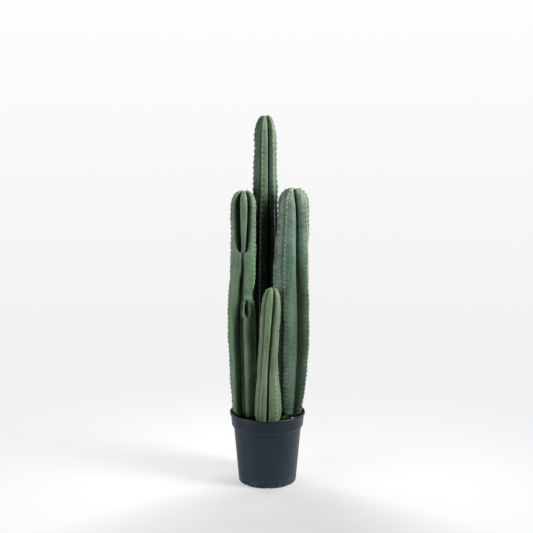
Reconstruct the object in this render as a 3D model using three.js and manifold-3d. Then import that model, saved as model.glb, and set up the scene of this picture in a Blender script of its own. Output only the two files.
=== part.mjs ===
// A tall columnar cactus of four ribbed stems growing in a round nursery pot.
// Millimetres, +Z up, origin in the middle of the pot's underside, front of the plant toward -Y.
import * as THREE from "three";
import { mergeVertices } from "three/addons/utils/BufferGeometryUtils.js";
import Module from "manifold-3d";

const wasm = await Module();
wasm.setup();

// ---------------------------------------------------------------- driving dimensions
const GAP = 0.35; // clearance between neighbouring solids
const STEM_CLEARANCE = 0.9; // radial room round a stem in the soil, GAP or more across a steep flank
const RIM_RADIUS = 120;
const RIM_HEIGHT = 227;
const LIP_HEIGHT = 10;
const LIP_THICKNESS = 2.2;
const BAND_TOP_RADIUS = 116.7;
const BAND_BOTTOM_RADIUS = 113.8;
const BAND_BOTTOM = 183.5;
const STEP_DROP = 6;
const BODY_TOP_RADIUS = 107.5;
const FOOT_RADIUS = 91.8;
const FOOT_CORNER = 1.6;
const FOOT_RING_WIDTH = 12;
const FOOT_RECESS = 3.5;
const WALL = 1.8;
const BOSS_RADIUS = 18;
const POT_SEGMENTS = 56;
const DRAIN_HOLES = 8;
const DRAIN_RADIUS = 5.5;
const DRAIN_CIRCLE = 66;
const NOTCH_WIDTH = 13;
const NOTCH_HEIGHT = 2.6;

const SOIL_LEVEL = 212;
const SOIL_BUMP = 1.6;
const STEM_FOOT = 188; // how deep the buried end of a stem reaches

const FLANK_STOPS = [0, 0.5, 0.8, 0.95]; // places of the edges on a flank, as shares of its width
const ROW_SPACING = 42; // distance between the rings of a stem
const DOME_ANGLES = [18, 36, 52, 66, 79]; // degrees up the rounded tip
const GROOVE_DIP = 0.25; // how much sooner a groove turns over at the tip than a crest does
const TIP_SINK = 3; // how far the growing point lies below the rib tops

// Each stem: the place of its leaning axis [z, x] and [z, y], a rib radius [z, r] and its ribs in
// order round the stem. A rib has a bearing [z, degrees] measured from the front toward +X and may
// swell, [z, factor]. The groove after a rib may have its own place between the two ribs and its own
// depth as a share of the radius. Each side of a rib may have a wall (the share of the flank that
// falls to the groove's floor), a plumpness and a steepness. Any of these is a number or a curve.
const PLAIN_SIDE = { wall: 0.92, plump: 2, steep: 0.45 };
const TALL_STEM = {
  top: 1163,
  dome: 70,
  axisX: [[188, -8], [600, -9], [900, -7], [1163, -6]],
  axisY: [[188, 66], [600, 64], [900, 61], [1163, 60]],
  radius: [[188, 31], [400, 41], [600, 46], [800, 43], [900, 39.5], [1000, 36], [1163, 33]],
  ribs: [
    {
      bearing: [[188, -84], [1163, -80]],
      groovePlace: 0.62,
      grooveDepth: 0.48,
      right: { wall: 0.7, plump: 1.2, steep: 0.9 },
    },
    {
      bearing: [[188, -17], [1163, -14]],
      groovePlace: 0.7,
      grooveDepth: 0.38,
      left: { wall: 0.9, plump: 1.5, steep: 0.6 },
      right: { wall: 0.88, plump: 3.2, steep: 0.38 },
    },
    {
      bearing: [[188, 41], [1163, 42]],
      left: { wall: 0.7, plump: 2.2, steep: 0.45 },
    },
    { bearing: 104 },
    { bearing: 165 },
    { bearing: 220 },
  ],
};

// The left stem's second rib is young: it rises out of the wide groove at NEW_RIB_START.
const NEW_RIB_START = 740;
const LEFT_STEM = {
  top: 930,
  dome: 50,
  extraRows: [590, 606, 625, 690, NEW_RIB_START - 4, NEW_RIB_START + 8, NEW_RIB_START + 24],
  axisX: [[188, -68], [250, -73], [400, -77], [535, -80], [707, -75], [930, -73]],
  axisY: [[188, 4], [400, 2], [707, 4], [930, 6]],
  radius: [[188, 29], [212, 34], [245, 40], [320, 43], [400, 45], [535, 46], [720, 42], [930, 43]],
  ribs: [
    {
      bearing: [[188, -70], [500, -73], [720, -68], [930, -66]],
      groovePlace: [[188, 0.95], [NEW_RIB_START - 4, 0.95], [NEW_RIB_START + 12, 0.67], [930, 0.55]],
      grooveDepth: [[188, 0.38], [640, 0.4], [690, 0.55], [NEW_RIB_START - 4, 0.72], [765, 0.38]],
      right: {
        wall: [[188, 0.58], [600, 0.77], [685, 0.98], [NEW_RIB_START - 2, 0.99], [756, 0.74], [930, 0.64]],
        plump: 4,
        steep: 0.34,
      },
    },
    {
      bearing: [[188, -24], [300, -17], [600, -11], [685, -2], [738, -4], [755, 1], [930, 1]],
      swell: [[188, 0.38], [640, 0.41], [690, 0.55], [NEW_RIB_START - 4, 0.73], [775, 0.94], [820, 1]],
      groovePlace: [[188, 0.045], [NEW_RIB_START - 4, 0.047], [NEW_RIB_START + 12, 0.3], [930, 0.43]],
      grooveDepth: [[188, 0.38], [640, 0.4], [690, 0.55], [NEW_RIB_START - 4, 0.72], [765, 0.38]],
      left: { wall: [[738, 0.9], [752, 0.62], [930, 0.78]], plump: 4, steep: 0.34 },
      right: { wall: [[738, 0.9], [752, 0.76], [930, 0.88]], plump: 4, steep: 0.34 },
    },
    {
      bearing: [[188, 60], [500, 63], [720, 60], [930, 58]],
      swell: [[188, 1], [557, 0.99], [580, 0.88], [598, 0.68], [608, 0.66], [635, 0.89], [700, 1], [930, 1]],
      left: {
        wall: [[188, 0.73], [545, 0.8], [685, 0.98], [NEW_RIB_START - 2, 0.99], [756, 0.86], [930, 0.78]],
        plump: 4,
        steep: 0.36,
      },
    },
    { bearing: 142 },
    { bearing: 212 },
  ],
};

const RIGHT_STEM = {
  top: 937,
  dome: 50,
  axisX: [[188, 77], [300, 81], [450, 82], [700, 80], [860, 82], [937, 81]],
  axisY: [[188, 22], [450, 20], [937, 18]],
  radius: [[188, 28], [212, 32], [255, 38], [330, 45], [420, 51], [520, 53], [700, 51], [820, 48], [937, 47]],
  ribs: [
    {
      bearing: [[188, -92], [560, -85], [700, -82], [937, -78]],
      swell: [[188, 0.98], [400, 1], [560, 1.04], [625, 1.16], [680, 1.18], [760, 1.1], [937, 0.98]],
      groovePlace: 0.62,
      grooveDepth: [[188, 0.45], [590, 0.5], [650, 0.78], [937, 0.8]],
      right: { wall: 1, plump: 1.1, steep: 1 },
    },
    {
      bearing: [[188, -50], [330, -42], [520, -33], [700, -33], [937, -28]],
      groovePlace: [[188, 0.66], [450, 0.74], [600, 0.72], [745, 0.62], [937, 0.5]],
      grooveDepth: [[188, 0.46], [450, 0.44], [745, 0.42], [937, 0.36]],
      left: { wall: 1, plump: 1.5, steep: 0.8 },
      right: {
        wall: [[600, 1], [745, 0.93]],
        plump: [[188, 1.3], [600, 1.5], [745, 2.6]],
        steep: [[188, 1.5], [600, 1.2], [745, 0.5]],
      },
    },
    {
      bearing: [[188, 56], [450, 61], [600, 60], [860, 54], [937, 42]],
      swell: [[188, 1], [450, 1.05], [700, 1.03], [860, 1]],
      left: { wall: 1, plump: [[600, 1.2], [760, 2.4]], steep: [[188, 1.6], [600, 1.4], [760, 0.5]] },
    },
    { bearing: [[188, 114], [720, 110], [860, 98], [937, 94]] },
    { bearing: 186 },
  ],
};

const SHORT_STEM = {
  top: 637,
  dome: 66,
  axisX: [[188, 2], [246, 4], [391, 3], [486, 6.5], [571, 11], [637, 15]],
  axisY: [[188, -60], [391, -58], [637, -54]],
  radius: [[188, 33], [212, 39], [250, 43], [310, 40], [391, 33], [637, 30.5]],
  ribs: [
    {
      bearing: [[188, -84], [391, -86], [637, -88]],
      groovePlace: 0.52,
      grooveDepth: 0.56,
      right: { wall: 0.9, plump: 1.5, steep: 0.7 },
    },
    {
      bearing: [[188, -40], [275, -37], [350, -32], [450, -23], [637, -22]],
      groovePlace: [[188, 0.4], [275, 0.4], [450, 0.35], [580, 0.43], [637, 0.45]],
      grooveDepth: 0.34,
      left: { wall: 0.88, plump: 2.2, steep: 0.5 },
      right: { wall: 0.93, plump: 3, steep: 0.4 },
    },
    {
      bearing: [[188, 36], [275, 38], [350, 43], [420, 56], [486, 67], [637, 75]],
      left: { wall: 0.94, plump: 2.4, steep: 0.42 },
    },
    { bearing: [[188, 110], [637, 134]] },
    { bearing: [[188, 186], [637, 194]] },
  ],
};

// Loose pieces lying in the soil: centre x, y, half lengths and turn about Z in degrees.
const BARK_CHIPS = [
  { at: [53, -36], half: [9, 4, 3], turn: 25 },
  { at: [-62, -62], half: [8, 3.5, 2.6], turn: -40 },
  { at: [30, 92], half: [9, 4, 3], turn: 70 },
];
const PERLITE_GRAINS = [
  { at: [79, -38], half: [3.4, 3, 2.8], turn: 0 },
  { at: [-44, 62], half: [3.2, 2.8, 2.6], turn: 50 },
  { at: [64, -66], half: [3, 2.6, 2.4], turn: 20 },
];

// ---------------------------------------------------------------- shared helpers
/** A closed geometry as a manifold solid. */
function solidOf(geometry) {
  const bare = geometry.clone();
  bare.deleteAttribute("normal");
  bare.deleteAttribute("uv");
  const merged = mergeVertices(bare, 1e-4);
  return new wasm.Manifold(
    new wasm.Mesh({
      numProp: 3,
      vertProperties: merged.attributes.position.array,
      triVerts: new Uint32Array(merged.index.array),
    }),
  );
}

/** A manifold solid as a geometry. */
function geometryOf(solid) {
  const mesh = solid.getMesh();
  const geometry = new THREE.BufferGeometry();
  geometry.setAttribute("position", new THREE.BufferAttribute(mesh.vertProperties, 3));
  geometry.setIndex(new THREE.BufferAttribute(mesh.triVerts, 1));
  return geometry;
}

/**
 * The value at height z of a curve that runs smoothly, without overshoot, through [z, value] pairs.
 * A plain number stands for a curve that keeps that value.
 */
function smooth(pairs, z) {
  if (typeof pairs === "number") return pairs;
  const last = pairs.length - 1;
  if (z <= pairs[0][0]) return pairs[0][1];
  if (z >= pairs[last][0]) return pairs[last][1];
  const slope = (i) => (pairs[i + 1][1] - pairs[i][1]) / (pairs[i + 1][0] - pairs[i][0]);
  const tangent = (i) => {
    if (i === 0) return slope(0);
    if (i === last) return slope(last - 1);
    const before = slope(i - 1);
    const after = slope(i);
    return before * after <= 0 ? 0 : (2 * before * after) / (before + after);
  };
  let i = 0;
  while (pairs[i + 1][0] < z) i += 1;
  const span = pairs[i + 1][0] - pairs[i][0];
  const t = (z - pairs[i][0]) / span;
  return (
    (2 * t ** 3 - 3 * t ** 2 + 1) * pairs[i][1] +
    (t ** 3 - 2 * t ** 2 + t) * span * tangent(i) +
    (3 * t ** 2 - 2 * t ** 3) * pairs[i + 1][1] +
    (t ** 3 - t ** 2) * span * tangent(i + 1)
  );
}

/** A closed surface from rings of equal length, each end closed with a fan to a pole. */
function ringSurface(rings, bottomPole, topPole) {
  const around = rings[0].length;
  const positions = [bottomPole, ...rings.flat(), topPole].flat();
  const top = 1 + rings.length * around;
  const faces = [];
  for (let i = 0; i < around; i += 1) {
    const j = (i + 1) % around;
    faces.push(0, 1 + j, 1 + i);
    for (let row = 0; row < rings.length - 1; row += 1) {
      const low = 1 + row * around;
      const high = low + around;
      faces.push(low + i, low + j, high + j);
      faces.push(low + i, high + j, high + i);
    }
    faces.push(top, top - around + i, top - around + j);
  }
  const geometry = new THREE.BufferGeometry();
  geometry.setAttribute("position", new THREE.Float32BufferAttribute(positions, 3));
  geometry.setIndex(faces);
  return geometry;
}

// ---------------------------------------------------------------- pot
/** Thin moulded pot: tapered wall, stepped-out band, rolled lip and a recessed floor on a foot ring. */
function potGeometry() {
  const ringInner = FOOT_RADIUS - FOOT_RING_WIDTH;
  const floorTop = FOOT_RECESS + WALL;
  const taper = (BODY_TOP_RADIUS - FOOT_RADIUS) / (BAND_BOTTOM - STEP_DROP);
  const profile = [
    [0, 0],
    [BOSS_RADIUS, 0],
    [BOSS_RADIUS + 1, FOOT_RECESS],
    [ringInner - 1, FOOT_RECESS],
    [ringInner, 0],
    [FOOT_RADIUS - FOOT_CORNER, 0],
    [FOOT_RADIUS - 0.3 * FOOT_CORNER, 0.3 * FOOT_CORNER],
    [FOOT_RADIUS, FOOT_CORNER],
    [BODY_TOP_RADIUS, BAND_BOTTOM - STEP_DROP],
    [BAND_BOTTOM_RADIUS - 0.6, BAND_BOTTOM - 0.5],
    [BAND_BOTTOM_RADIUS, BAND_BOTTOM + 0.6],
    [BAND_TOP_RADIUS, RIM_HEIGHT - LIP_HEIGHT],
    [RIM_RADIUS - 0.9, RIM_HEIGHT - LIP_HEIGHT + 0.6],
    [RIM_RADIUS, RIM_HEIGHT - LIP_HEIGHT + 2.2],
    [RIM_RADIUS, RIM_HEIGHT - 1.2],
    [RIM_RADIUS - 0.7, RIM_HEIGHT],
    [RIM_RADIUS - LIP_THICKNESS + 0.5, RIM_HEIGHT],
    [RIM_RADIUS - LIP_THICKNESS, RIM_HEIGHT - 0.8],
    [BAND_TOP_RADIUS - WALL, RIM_HEIGHT - LIP_HEIGHT],
    [BAND_BOTTOM_RADIUS - WALL, BAND_BOTTOM + 0.6],
    [BODY_TOP_RADIUS - WALL, BAND_BOTTOM - STEP_DROP - 0.6],
    [FOOT_RADIUS - WALL + taper * floorTop, floorTop],
    [0, floorTop],
  ];
  const points = profile.map(([r, z]) => new THREE.Vector2(r, z));
  const turned = new THREE.LatheGeometry(points, POT_SEGMENTS);
  turned.rotateX(Math.PI / 2);
  let pot = solidOf(turned);
  for (let i = 0; i < DRAIN_HOLES; i += 1) {
    const bearing = ((i + 0.5) * 2 * Math.PI) / DRAIN_HOLES;
    const hole = new THREE.CylinderGeometry(DRAIN_RADIUS, DRAIN_RADIUS, 4 * WALL, 16);
    hole.rotateX(Math.PI / 2);
    hole.translate(
      DRAIN_CIRCLE * Math.cos(bearing),
      DRAIN_CIRCLE * Math.sin(bearing),
      FOOT_RECESS + WALL / 2,
    );
    pot = pot.subtract(solidOf(hole));
    const notch = new THREE.BoxGeometry(2 * FOOT_RING_WIDTH, NOTCH_WIDTH, 2 * NOTCH_HEIGHT);
    notch.translate(FOOT_RADIUS - FOOT_RING_WIDTH / 2, 0, 0);
    notch.rotateZ((i * 2 * Math.PI) / DRAIN_HOLES);
    pot = pot.subtract(solidOf(notch));
  }
  return geometryOf(pot);
}

// ---------------------------------------------------------------- stems
/**
 * Radius at u on the way from a crest (0) to the middle of the groove (1): a rounded flank, then a
 * wall that meets the floor of the groove at the side's wall share.
 */
function flankRadius(u, crest, groove, side, z) {
  const t = Math.min(1, u / smooth(side.wall, z));
  return groove + (crest - groove) * Math.pow(1 - Math.pow(t, smooth(side.plump, z)), smooth(side.steep, z));
}

/** One ring of a stem: all its ribs and grooves at one height, as [bearing, radius, crest radius]. */
function stemSection(stem, z) {
  const radius = smooth(stem.radius, z);
  const count = stem.ribs.length;
  const ring = [];
  stem.ribs.forEach((rib, k) => {
    const next = stem.ribs[(k + 1) % count];
    const start = smooth(rib.bearing, z);
    const end = smooth(next.bearing, z) + (k === count - 1 ? 360 : 0);
    const crest = radius * smooth(rib.swell ?? 1, z);
    const nextCrest = radius * smooth(next.swell ?? 1, z);
    const place = start + (end - start) * smooth(rib.groovePlace ?? 0.5, z);
    const groove = radius * smooth(rib.grooveDepth ?? 0.42, z);
    const right = rib.right ?? PLAIN_SIDE;
    const left = next.left ?? PLAIN_SIDE;
    for (const stop of FLANK_STOPS) {
      const u = stop * smooth(right.wall, z);
      ring.push([start + (place - start) * u, flankRadius(u, crest, groove, right, z), crest]);
    }
    ring.push([place, groove, Math.min(crest, nextCrest)]);
    for (const stop of FLANK_STOPS.slice(1).reverse()) {
      const u = stop * smooth(left.wall, z);
      ring.push([end + (place - end) * u, flankRadius(u, nextCrest, groove, left, z), nextCrest]);
    }
  });
  return ring;
}

/** Heights of a stem's rings from just above its foot to its shoulder. */
function rowHeights(stem) {
  const first = STEM_FOOT + 6;
  const shoulder = stem.top - stem.dome;
  const spaces = Math.ceil((shoulder - first) / ROW_SPACING);
  const even = Array.from({ length: spaces + 1 }, (_, row) => first + ((shoulder - first) * row) / spaces);
  const extra = stem.extraRows ?? [];
  const kept = even.filter((z) => extra.every((other) => Math.abs(z - other) > 7));
  return [...kept, ...extra].sort((a, b) => a - b);
}

/**
 * A ribbed column on a leaning axis whose ribs arch over and meet at a slightly sunken tip.
 * With a clearance it becomes the pocket that the stem stands in, wider by that much all round.
 */
function stemGeometry(stem, clearance = 0) {
  const shoulder = stem.top - stem.dome;
  const foot = STEM_FOOT - clearance;
  const rings = [];
  const place = (z, bearing, radius) => {
    const angle = THREE.MathUtils.degToRad(bearing);
    return [
      smooth(stem.axisX, z) + (radius + clearance) * Math.sin(angle),
      smooth(stem.axisY, z) - (radius + clearance) * Math.cos(angle),
      z,
    ];
  };
  rings.push(stemSection(stem, STEM_FOOT).map(([b, r]) => place(foot, b, 0.9 * r)));
  for (const z of rowHeights(stem)) {
    rings.push(stemSection(stem, z).map(([b, r]) => place(z, b, r)));
  }
  for (const degrees of DOME_ANGLES) {
    const phi = THREE.MathUtils.degToRad(degrees);
    const inward = Math.pow(Math.cos(phi), 0.9);
    const rise = stem.dome * Math.sin(phi);
    const section = stemSection(stem, shoulder + rise);
    rings.push(
      section.map(([b, r, crest]) =>
        place(shoulder + rise * (1 - GROOVE_DIP * (1 - r / crest)), b, inward * r),
      ),
    );
  }
  const bottomPole = [smooth(stem.axisX, foot), smooth(stem.axisY, foot), foot];
  const topPole = [smooth(stem.axisX, stem.top), smooth(stem.axisY, stem.top), stem.top - TIP_SINK];
  return ringSurface(rings, bottomPole, topPole);
}

// ---------------------------------------------------------------- loose pieces in the soil
/**
 * An irregular lump: a coarse ball squeezed to its half lengths with a few flats and dents.
 * With a clearance it becomes the hollow that the lump lies in.
 */
function lumpGeometry({ at, half, turn }, clearance = 0) {
  const wide = half.map((length) => length + clearance);
  const around = 9;
  const levels = [-0.62, 0, 0.62];
  const rings = levels.map((level, row) =>
    Array.from({ length: around }, (_, i) => {
      const angle = ((i + 0.5 * row) * 2 * Math.PI) / around;
      const dent = 1 + 0.13 * Math.sin(3 * angle + 2 * row + turn) + 0.07 * Math.cos(5 * angle);
      const ring = Math.sqrt(1 - level ** 2) * dent;
      return [wide[0] * ring * Math.cos(angle), wide[1] * ring * Math.sin(angle), wide[2] * level];
    }),
  );
  const lump = ringSurface(rings, [0, 0, -wide[2]], [0, 0, wide[2]]);
  lump.rotateZ(THREE.MathUtils.degToRad(turn));
  lump.translate(at[0], at[1], soilHeight(at[0], at[1]) + 0.35 * half[2]);
  return lump;
}

// ---------------------------------------------------------------- soil
/** Height of the uneven soil surface at a place. */
function soilHeight(x, y) {
  const wave = Math.sin(0.075 * x + 0.6) * Math.cos(0.068 * y - 0.4);
  const ripple = Math.sin(0.17 * x - 0.11 * y + 1.3);
  return SOIL_LEVEL + SOIL_BUMP * (wave + 0.45 * ripple);
}

/** Potting soil filling the pot, with a pocket for every stem foot and every loose piece. */
function soilGeometry(pockets) {
  const segments = 44;
  const taper = (BODY_TOP_RADIUS - FOOT_RADIUS) / (BAND_BOTTOM - STEP_DROP);
  const floor = FOOT_RECESS + WALL + GAP;
  const stepLow = BAND_BOTTOM - STEP_DROP - 1;
  const stepHigh = BAND_BOTTOM + 1.2;
  const bandSlope = (BAND_TOP_RADIUS - BAND_BOTTOM_RADIUS) / (RIM_HEIGHT - LIP_HEIGHT - BAND_BOTTOM);
  // A ring drawn with straight sides reaches furthest at its corners, so all radii count at corners.
  const clear = WALL + GAP + 0.35;
  const edgeRadius = BAND_BOTTOM_RADIUS - clear + bandSlope * (SOIL_LEVEL - BAND_BOTTOM - 3);
  const ring = (radius, height) =>
    Array.from({ length: segments }, (_, i) => {
      const angle = (i * 2 * Math.PI) / segments;
      const x = radius * Math.cos(angle);
      const y = radius * Math.sin(angle);
      return [x, y, height ?? soilHeight(x, y)];
    });
  const rings = [
    ring(FOOT_RADIUS - clear + taper * floor - 0.5, floor),
    ring(BODY_TOP_RADIUS - clear - 0.2, stepLow),
    ring(BAND_BOTTOM_RADIUS - clear, stepHigh),
    ring(edgeRadius),
    ring(0.82 * edgeRadius),
    ring(0.62 * edgeRadius),
    ring(0.42 * edgeRadius),
    ring(0.2 * edgeRadius),
  ];
  let soil = solidOf(ringSurface(rings, [0, 0, floor], [0, 0, soilHeight(0, 0)]));
  for (const pocket of pockets) {
    soil = soil.subtract(solidOf(pocket));
  }
  const bodies = soil.decompose();
  bodies.sort((a, b) => b.volume() - a.volume());
  return geometryOf(bodies[0]);
}

// ---------------------------------------------------------------- materials
const potPlastic = () =>
  new THREE.MeshStandardMaterial({ color: 0x2f363c, roughness: 0.45, metalness: 0 });
const stemSkin = () =>
  new THREE.MeshStandardMaterial({ color: 0x6f8f70, roughness: 0.6, metalness: 0 });
const youngStemSkin = () =>
  new THREE.MeshStandardMaterial({ color: 0x7d9a70, roughness: 0.6, metalness: 0 });
const pottingSoil = () =>
  new THREE.MeshStandardMaterial({ color: 0x2b221c, roughness: 0.95, metalness: 0 });
const barkWood = () =>
  new THREE.MeshStandardMaterial({ color: 0x6d4c35, roughness: 0.9, metalness: 0 });
const perliteStone = () =>
  new THREE.MeshStandardMaterial({ color: 0xe9e7e0, roughness: 0.85, metalness: 0 });

// ---------------------------------------------------------------- assembly
const plant = new THREE.Group();
plant.name = "potted_tall_cactus";

/** One named mesh in the group. */
function addPart(name, geometry, material) {
  const mesh = new THREE.Mesh(geometry, material);
  mesh.name = name;
  plant.add(mesh);
}

addPart("pot", potGeometry(), potPlastic());
addPart("tall_stem", stemGeometry(TALL_STEM), stemSkin());
addPart("left_stem", stemGeometry(LEFT_STEM), stemSkin());
addPart("right_stem", stemGeometry(RIGHT_STEM), stemSkin());
addPart("short_stem", stemGeometry(SHORT_STEM), youngStemSkin());
BARK_CHIPS.forEach((chip, i) => {
  addPart(`bark_chip_${i + 1}`, lumpGeometry(chip), barkWood());
});
PERLITE_GRAINS.forEach((grain, i) => {
  addPart(`perlite_grain_${i + 1}`, lumpGeometry(grain), perliteStone());
});
const stems = [TALL_STEM, LEFT_STEM, RIGHT_STEM, SHORT_STEM];
const pockets = [
  ...stems.map((stem) => stemGeometry(stem, STEM_CLEARANCE)),
  ...[...BARK_CHIPS, ...PERLITE_GRAINS].map((lump) => lumpGeometry(lump, 2 * GAP)),
];
addPart("soil", soilGeometry(pockets), pottingSoil());

export default plant;
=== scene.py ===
"""A tall columnar cactus of four ribbed stems in a nursery pot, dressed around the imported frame."""

import math

import bpy
import numpy as np
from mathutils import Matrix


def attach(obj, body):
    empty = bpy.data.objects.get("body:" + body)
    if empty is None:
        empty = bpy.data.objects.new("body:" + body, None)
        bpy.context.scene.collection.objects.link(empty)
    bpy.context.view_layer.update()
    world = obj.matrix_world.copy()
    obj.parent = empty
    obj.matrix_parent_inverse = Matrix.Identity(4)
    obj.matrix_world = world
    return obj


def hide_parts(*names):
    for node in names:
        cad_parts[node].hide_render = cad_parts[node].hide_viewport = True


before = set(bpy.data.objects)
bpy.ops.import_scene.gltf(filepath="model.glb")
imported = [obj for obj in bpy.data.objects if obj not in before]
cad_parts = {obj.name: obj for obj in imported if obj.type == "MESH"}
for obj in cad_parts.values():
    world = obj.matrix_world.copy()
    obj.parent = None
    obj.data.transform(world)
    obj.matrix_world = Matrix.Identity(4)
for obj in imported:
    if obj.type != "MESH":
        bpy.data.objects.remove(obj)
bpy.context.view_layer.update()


# ---------------------------------------- pot
# A thin nursery pot, injection moulded in dark slate polypropylene with a faint satin grain.
# One wall of even thickness steps out to a band under the lip; the foot ring has drainage
# notches, so that water can run out from under the recessed floor.
MM = 0.001


def put_mesh(name, points, quads, tris=(), smooth=True):
    """A new object from an array of points and arrays of four- and three-cornered faces."""
    mesh = bpy.data.meshes.new(name)
    faces = np.asarray(quads, int).reshape(-1, 4).tolist()
    faces += np.asarray(tris, int).reshape(-1, 3).tolist()
    mesh.from_pydata(np.asarray(points, float).tolist(), [], faces)
    mesh.polygons.foreach_set("use_smooth", [smooth] * len(mesh.polygons))
    mesh.update()
    piece = bpy.data.objects.new(name, mesh)
    bpy.context.scene.collection.objects.link(piece)
    return piece


def grid_quads(rows, columns):
    """Faces of a grid that closes on itself sideways: each point, its right mate, and the two above."""
    i, j = np.meshgrid(np.arange(rows - 1), np.arange(columns), indexing="ij")
    right = (j + 1) % columns
    low = i * columns
    high = low + columns
    return np.stack([low + j, low + right, high + right, high + j], -1).reshape(-1, 4)


def fan(pole, ring, flip=False):
    """Faces from a pole point to each pair of neighbours on a closed ring."""
    ring = np.asarray(ring)
    after = np.roll(ring, -1)
    ends = (after, ring) if flip else (ring, after)
    return np.stack([np.full(len(ring), pole), *ends], -1)


def end_fans(rows, columns):
    """Faces that close a grid's first and last rows with the two points that follow its own."""
    ring = np.arange(columns)
    pole = rows * columns
    return np.concatenate([fan(pole, ring, flip=True), fan(pole + 1, pole - columns + ring)])


def add_attribute(piece, name, values):
    """One number per point, for the material to read by name."""
    layer = piece.data.attributes.new(name, "FLOAT", "POINT")
    layer.data.foreach_set("value", np.asarray(values, np.float32).ravel())


def node_adder(tree):
    """A helper that adds a node to a tree, sets it up, and links or fills its inputs."""

    def add(kind, inputs=None, **settings):
        node = tree.nodes.new(kind)
        for key, value in settings.items():
            setattr(node, key, value)
        for key, value in (inputs or {}).items():
            if isinstance(value, bpy.types.NodeSocket):
                tree.links.new(value, node.inputs[key])
            else:
                node.inputs[key].default_value = value
        return node

    return add


def shader(name, roughness, specular):
    """A node material with its surface shader, a node adder, and a helper that links a socket to it."""
    material = bpy.data.materials.new(name)
    material.use_nodes = True
    surface = material.node_tree.nodes["Principled BSDF"]
    surface.inputs["Roughness"].default_value = roughness
    surface.inputs["Specular IOR Level"].default_value = specular

    def join(socket, target):
        material.node_tree.links.new(socket, surface.inputs[target])

    return material, node_adder(material.node_tree), join


def mixed(add, amount, below, above, kind="MIX"):
    """Two colours blended by an amount; each of the three is a value or a socket."""
    inputs = {"Factor": amount, "A": below, "B": above}
    return add("ShaderNodeMix", inputs, data_type="RGBA", blend_type=kind).outputs["Result"]


def ranged(add, value, low, high, start=0.0, stop=1.0, easing="LINEAR"):
    """A value moved from the range low to high onto start to stop, and held there outside it."""
    inputs = {"Value": value, "From Min": low, "From Max": high, "To Min": start, "To Max": stop}
    return add("ShaderNodeMapRange", inputs, interpolation_type=easing).outputs["Result"]


def noise(add, place, scale, detail, roughness=0.5):
    """Cloudy noise: scale is in features per metre."""
    inputs = {"Vector": place, "Scale": scale, "Detail": detail, "Roughness": roughness}
    return add("ShaderNodeTexNoise", inputs).outputs["Fac"]


def arithmetic(add, kind, a, b=0.0):
    """The sum, difference, product or size of values or sockets, by the kind that is named."""
    return add("ShaderNodeMath", {0: a, 1: b}, operation=kind).outputs["Value"]


def ramp(add, value, low, dark, high, light):
    """A colour that runs from dark at the low value to light at the high one."""
    node = add("ShaderNodeValToRGB", {"Fac": value})
    for stop, position, colour in zip(node.color_ramp.elements, (low, high), (dark, light)):
        stop.position = position
        stop.color = (*colour, 1)
    return node.outputs["Color"]


def bumped(add, height, strength, distance):
    """A surface direction roughened by a height pattern of the given depth in metres."""
    inputs = {"Height": height, "Strength": strength, "Distance": distance}
    return add("ShaderNodeBump", inputs).outputs["Normal"]


POT_COLUMNS = 192
NOTCHES = 8
NOTCH_HALF_ANGLE = math.radians(4.2)
NOTCH_SOFTNESS = 0.006
NOTCH_LIFT = 2.4
CORNER_RADIUS = 1.1
FLOOR_TOP = 5.3

# The wall's outline as radius and height in millimetres: out along the underside, up the outside,
# over the lip, and down the inside to the floor.
UNDERSIDE = [(18, 0), (19, 3.5), (79, 3.5)]
FOOT_RING = [(79.8, 0), (90.2, 0), (91.8, 1.7)]
OUTER_WALL = [(92.4, 8), (99.6, 90), (107.4, 177), (107.7, 178.4)]
BAND = [(113.2, 183), (113.9, 185), (115.2, 200), (116.6, 216), (117.0, 217.2)]
LIP = [(119.2, 217.8), (120, 219.6), (120, 225.6), (119.2, 227), (118.3, 227)]
INNER_BAND = [(117.6, 226.2), (115.2, 217), (114.2, 205), (112.0, 184.5)]
INNER_WALL = [(106.0, 177), (97, 80), (90.5, FLOOR_TOP)]


def rounded(profile, radius, steps=3):
    """The corners of an open profile cut back by up to radius and bent round in a few steps."""
    out = [profile[0]]
    for before, corner, after in zip(profile[:-2], profile[1:-1], profile[2:]):
        a, b, c = map(np.array, (before, corner, after))
        reach = min(radius, 0.45 * np.hypot(*(b - a)), 0.45 * np.hypot(*(c - b)))
        start = b + (a - b) / np.hypot(*(a - b)) * reach
        end = b + (c - b) / np.hypot(*(c - b)) * reach
        for t in np.linspace(0, 1, steps + 1):
            out.append(tuple((1 - t) ** 2 * start + 2 * t * (1 - t) * b + t**2 * end))
    out.append(profile[-1])
    return out


def pot_surface():
    """
    The wall's profile carried round the axis. In a notch the foot ring's underside is lifted by a
    smooth step of the angle from the notch's middle.
    """
    outline = UNDERSIDE + FOOT_RING + OUTER_WALL + BAND + LIP + INNER_BAND + INNER_WALL
    profile = np.array(rounded(outline, CORNER_RADIUS))
    turn = np.arange(POT_COLUMNS) * 2 * np.pi / POT_COLUMNS - np.pi / 2
    radius = np.repeat(profile[:, :1], POT_COLUMNS, 1)
    height = np.repeat(profile[:, 1:], POT_COLUMNS, 1)
    half_pitch = np.pi / NOTCHES
    to_notch = np.abs((turn + np.pi / 2 + half_pitch) % (2 * half_pitch) - half_pitch)
    lift = NOTCH_LIFT / (1 + np.exp((to_notch - NOTCH_HALF_ANGLE) / NOTCH_SOFTNESS))
    on_foot = (radius > UNDERSIDE[-1][0] + 0.5) & (height < UNDERSIDE[-1][1] - 0.1)
    height = np.where(on_foot, np.maximum(height, lift[None, :]), height)
    points = np.stack([radius * np.cos(turn), radius * np.sin(turn), height], -1).reshape(-1, 3)
    rows = len(profile)
    points = np.concatenate([points, [[0, 0, 0], [0, 0, FLOOR_TOP]]]) * MM
    return points, grid_quads(rows, POT_COLUMNS), end_fans(rows, POT_COLUMNS)


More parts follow.
